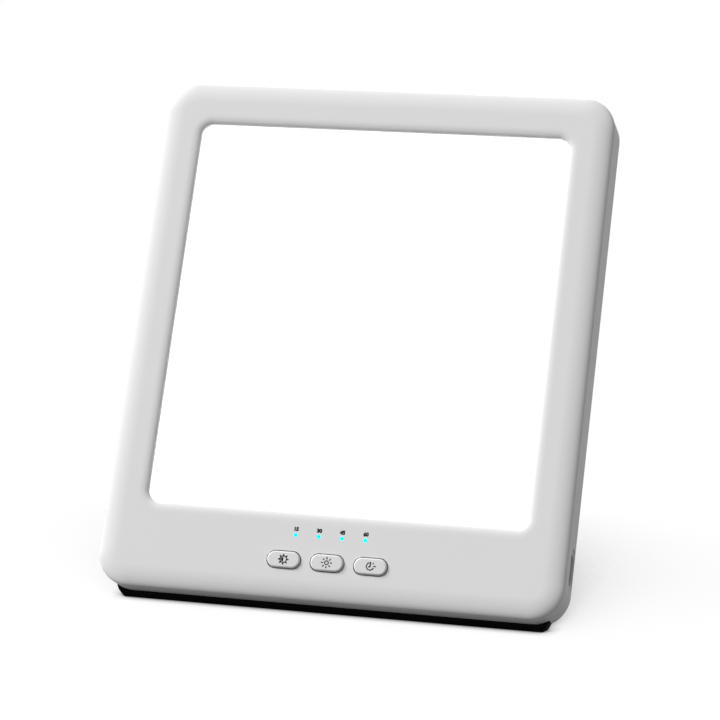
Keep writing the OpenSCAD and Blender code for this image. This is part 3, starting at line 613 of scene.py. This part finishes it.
marks = {
    "brightness": [disc(0.0016, 0.00122), disc(0.00105, 0, 90, 270)]
                  + [dash(0.00155, 0.0024, 0.0009, 0.0003, 45 * i) for i in range(8)],
    "light_mode": [disc(0.00102, 0.0006)]
                  + [dash(0.0015, 0.0024, 0.00046, 0.00056, 45 * i) for i in range(8)],
    "timer": [disc(0.00185, 0.00138, 104, 342), dash(-0.0003, 0.0019, 0.00052, 0.00052, 90),
              dash(0, 0.0009, 0.0006, 0.0005, 196, (0, -0.0001)),
              dash(0.0014, 0.0021, 0.00046, 0.00046, 46), dash(0.0014, 0.0025, 0.0005, 0.0005, 2)],
}
for key, x in zip(keys, button_places):
    printed(key + "_mark", marks[key], (x, button_y), cap_top, key + "_key")

# ---- Indicator lights and their numbers ----
# One clear moulding lit from below stands on the board and brings four round tips through the face.
# The minutes are printed above them in the same ink as the marks.
tip_l, tip_w, tip_top, tip_run, tip_drop = 0.00171, 0.0017, 0.01955, 0.0005, 0.00025
bar_l, bar_w, bar_r, bar_back, bar_front = 0.03675, 0.003, 0.0003, 0.013, 0.0146
foot_l, foot_r, foot_x = 0.0015, 0.0002, 0.017625
tips = []
for x in light_places:
    tip = pill("tip", tip_l, tip_w, bar_front, tip_top, (x, light_y), steps=10)
    rolled(tip, tip_top, tip_run, tip_drop, steps=5)
    tips.append(tip)
bar = block("bar", bar_l, bar_w, bar_r, bar_back, bar_front, (0, light_y), steps=3)
feet = [block("foot", foot_l, bar_w, foot_r, board_seat, bar_back, (side * foot_x, light_y),
              steps=3) for side in (-1, 1)]
pipe = joined("indicator_lights", [bar] + tips + feet)
smoothed(pipe)
glowing = Finish("light_pipe")
place = glowing.node("ShaderNodeTexCoord", output="Object")
haze = glowing.node("ShaderNodeTexNoise", (), {"Vector": place, "Scale": 900, "Detail": 2})
tone = blend(glowing, haze, (0, 0.95, 1), (0, 1, 1))
skin = glowing.node("ShaderNodeBsdfPrincipled", (), {
    "Base Color": (0, 0.3, 0.32, 1), "Roughness": 0.3 + haze * 0.1, "Specular IOR Level": 0.1,
    "Emission Color": tone, "Emission Strength": 1.2})
glowing.node("ShaderNodeOutputMaterial", (), [skin])
pipe.data.materials.append(glowing.material)
stood(pipe, "housing", "light_pipe", "indicator_light_pipe")
finished(glowing.material, "indicator_chips")

number_height, number_weight, number_y = 0.0022, 0.00016, 0.03012
numbers = []
for minutes, x in zip(("15", "30", "45", "60"), light_places):
    bpy.ops.object.select_all(action="DESELECT")
    bpy.ops.object.text_add()
    number = bpy.context.object
    number.data.body = minutes
    number.data.size = number_height
    number.data.align_x = "CENTER"
    number.data.align_y = "CENTER"
    number.data.offset = number_weight
    bpy.ops.object.convert(target="MESH")
    number = bpy.context.object
    number.data.transform(Matrix.Translation((x, 0, 0)))
    numbers.append(number)
printed("minute_numbers", numbers, (0, number_y), face, "housing")

# ---- Control board ----
# A green circuit board screwed to the housing's posts below the window, with the three push
# switches and the indicator chips in front, and the driver chip, coil, capacitors and connectors
# behind.
def softened(node, name, width, steps=2, angle=40):
    """A merged copy of a CAD node's mesh with its sharp edges slightly rounded."""
    piece = bpy.data.objects.new(name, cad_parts[node].data.copy())
    bpy.context.scene.collection.objects.link(piece)
    piece.data.materials.clear()
    edit(piece)
    bpy.ops.mesh.customdata_custom_splitnormals_clear()
    bpy.ops.mesh.select_all(action="SELECT")
    bpy.ops.mesh.remove_doubles(threshold=1e-6)
    bpy.ops.mesh.dissolve_limited(angle_limit=math.radians(0.5))
    closed()
    soft = piece.modifiers.new("soft", "BEVEL")
    soft.width = width
    soft.segments = steps
    soft.limit_method = "ANGLE"
    soft.angle_limit = math.radians(angle)
    soft.use_clamp_overlap = True
    bpy.ops.object.modifier_apply(modifier=soft.name)
    smoothed(piece)
    return piece


def placed(piece, material, body, slot, *nodes):
    """Gives a piece that already stands in its place its finish and body; the slot is not used."""
    piece.data.materials.append(material)
    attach(piece, body)
    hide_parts(*nodes)


finished(masked("green_board", (0.015, 0.13, 0.05), (0.03, 0.2, 0.08), size=330),
         "control_board", "inlet_board")
placed(softened("board_parts", "driver_parts", width=0.00025), black_parts, "housing",
       "black_parts", "board_parts")

# ---- Leads ----
# Stranded wires in a soft dark red cover, soldered from the inlet's board to the control board, and
# from there to the light strips.
finished(moulded("lead_cover", (0.42, 0.03, 0.03), roughness=0.5, grain=0.000008,
                 grain_scale=1500), "power_leads", "strip_leads")

# ---- Power inlet ----
# A drawn steel shell round a black moulded tongue, soldered to a small board behind the opening in
# the right wall.
bright_steel = brushed("bright_steel", (0.7, 0.7, 0.7), roughness=0.24)
placed(softened("inlet_socket", "inlet_shell", width=0.0001), bright_steel, "housing",
       "bright_steel", "inlet_socket")
placed(softened("inlet_tongue", "inlet_blade", width=0.00012), black_parts, "housing",
       "black_parts", "inlet_tongue")

# ---- Rear cover ----
# A 2 mm moulded plate let into the back of the housing, with a pocket for the folded leg, a finger
# notch at each side of it, and a row of vent slots above. Its spark texture is coarser than the
# housing's.
cover_plastic = moulded("cover_plastic", (0.67, 0.67, 0.67), roughness=0.58, grain=0.00002,
                        grain_scale=1500)
placed(softened("rear_cover", "back_cover", width=0.0003), cover_plastic, "housing",
       "cover_plastic", "rear_cover")

# ---- Screws ----
# Zinc-plated pan-head screws with a cross recess. Six hold the rear cover, four the tray, four the
# control board and two the inlet's board.
screw_steel = brushed("screw_steel", (0.62, 0.62, 0.6), roughness=0.3, along=(1, 1, 30))
head_r, head_h, head_round = 0.0024, 0.0015, 0.0006
shank_inset, point_length, point_share = 0.00135, 0.0008, 0.45
recess_l, recess_w, recess_r, recess_deep = 0.0026, 0.0007, 0.0001, 0.0009
first_turn, next_turn = 23, 61


def screws(name, places, top, length, upside_down=False):
    """Screws whose heads start at height top, with the shank upwards, or downwards."""
    bpy.ops.object.select_all(action="DESELECT")
    bpy.ops.mesh.primitive_cylinder_add(vertices=40, radius=head_r, depth=head_h,
                                        location=(0, 0, head_h / 2))
    made = bpy.context.object
    bpy.ops.object.transform_apply(location=True, rotation=True, scale=True)
    pick_edges(made, lambda a, b: a.z < 1e-6 and b.z < 1e-6)
    bpy.ops.mesh.bevel(offset=head_round, segments=5, affect="EDGES")
    pick_faces(made, lambda middle, normal: normal.z > 0.9)
    bpy.ops.mesh.inset(thickness=shank_inset, depth=0)
    bpy.ops.mesh.extrude_region_move(
        TRANSFORM_OT_translate={"value": (0, 0, length - point_length)})
    bpy.ops.mesh.extrude_region_move(TRANSFORM_OT_translate={"value": (0, 0, point_length)})
    bpy.ops.transform.resize(value=(point_share, point_share, 1))
    closed()
    for wide, high in ((recess_l, recess_w), (recess_w, recess_l)):
        cut(made, block("recess", wide, high, recess_r, -0.001, recess_deep, steps=2))
    smoothed(made)
    copies = []
    for place in places:
        copy = made.copy()
        copy.data = made.data.copy()
        bpy.context.scene.collection.objects.link(copy)
        turn = Matrix.Rotation(math.pi, 4, "X") if upside_down else Matrix.Identity(4)
        spin = Matrix.Rotation(math.radians(first_turn + next_turn * len(copies)), 4, "Z")
        copy.data.transform(Matrix.Translation((place[0], place[1], top)) @ turn @ spin)
        copies.append(copy)
    bpy.data.objects.remove(made, do_unlink=True)
    whole = joined(name, copies)
    whole.data.materials.append(screw_steel)
    return whole


long_screws = screws("corner_screws", corner_places, top=0.0005, length=0.009)
short_screws = screws("side_screws", side_places, top=0.0005, length=0.0083)
stood(joined("back_screws", [long_screws, short_screws]), "housing", "screw_steel", "cover_screws")
stood(screws("tray_fixings", tray_places, top=0.0096, length=0.0055), "housing", "screw_steel",
      "tray_screws")
stood(screws("board_fixings", board_places, top=0.0085, length=0.0056), "housing", "screw_steel",
      "board_screws")
inlet_screw_places = [(0.0797, inlet_y + side * 0.0066) for side in (-1, 1)]
stood(screws("inlet_fixings", inlet_screw_places, top=0.0059, length=0.003, upside_down=True),
      "housing", "screw_steel", "inlet_screws")

# ---- Stand ----
# A flat moulded leg on a steel pin, with thin friction washers at its sides and a soft rubber pad
# pressed on its end. It folds up into the cover's pocket.
leg_plastic = moulded("leg_plastic", (0.67, 0.67, 0.67), roughness=0.5, grain=0.000012,
                      grain_scale=2200)
placed(softened("stand_leg", "folding_leg", width=0.0004, steps=3), leg_plastic, "stand",
       "leg_plastic", "stand_leg")
# Near-black rubber. On the front foot its blackness is also painted shade for the contact shadow
# under the housing.
foot_rubber = moulded("foot_rubber", (0.002, 0.002, 0.002), roughness=0.85, grain=0.00002,
                      grain_scale=1700, shine=0.05)
placed(softened("leg_foot_pad", "leg_pad", width=0.0004, steps=3), foot_rubber, "stand",
       "foot_rubber", "leg_foot_pad")
placed(softened("hinge_pin", "steel_pin", width=0.0002), bright_steel, "housing",
       "bright_steel", "hinge_pin")
placed(softened("hinge_washers", "friction_washers", width=0.00005), bright_steel, "housing",
       "bright_steel", "hinge_washers")

# ---- Front foot ----
# A soft black rubber strip glued under the bottom of the housing, wedge-shaped and flat where it
# meets the table. It follows the housing's round corners at its ends, which are rounded themselves.
# Its near-black strip across almost the whole width also stands in for the dark contact shadow
# under the housing's lower edge: partly a real foot, partly painted shade.
placed(softened("front_foot", "rubber_foot", width=0.0003), foot_rubber, "housing",
       "foot_rubber", "front_foot")
